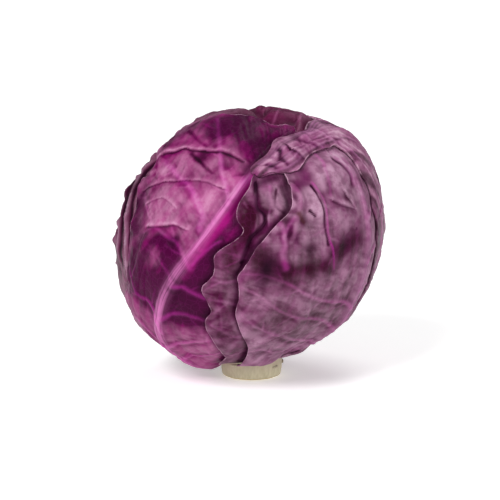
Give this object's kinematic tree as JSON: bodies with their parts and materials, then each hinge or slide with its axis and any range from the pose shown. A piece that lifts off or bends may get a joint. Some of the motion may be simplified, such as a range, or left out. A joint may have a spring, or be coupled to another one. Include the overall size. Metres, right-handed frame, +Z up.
{
  "type": "red cabbage",
  "caption": "Whole red cabbage head with ribbed, overlapping waxy outer leaves round a dense inner head, standing on its short cut stalk.",
  "frame": {"origin": "centre of the stalk's flat cut face, on which the head stands", "axes": "+Z up through the head, -Y towards the front that the picture shows, +X to the right of that view"},
  "size_m": [0.1658, 0.1572, 0.1669],
  "materials": {
    "inner_leaves": "dark purple inner leaves, packed tight",
    "cut_stalk": "dry cream cut of the stalk",
    "leaf_maroon": "dark maroon leaf, satin with a thin wax bloom",
    "leaf_magenta": "magenta leaf with pale pink ribs, satin with a thin wax bloom",
    "leaf_mauve": "dusty mauve leaf with magenta veins under a pale wax bloom"
  },
  "bodies": {
    "root": {"inner_head": "inner_leaves", "stalk": "cut_stalk", "leaf_back_right": "leaf_maroon", "leaf_back_left": "leaf_maroon", "leaf_left_inner": "leaf_maroon", "leaf_left_outer": "leaf_maroon", "leaf_front_left": "leaf_magenta", "leaf_front_middle": "leaf_mauve", "leaf_front_right": "leaf_mauve", "leaf_right_top": "leaf_mauve"}
  },
  "joints": []
}
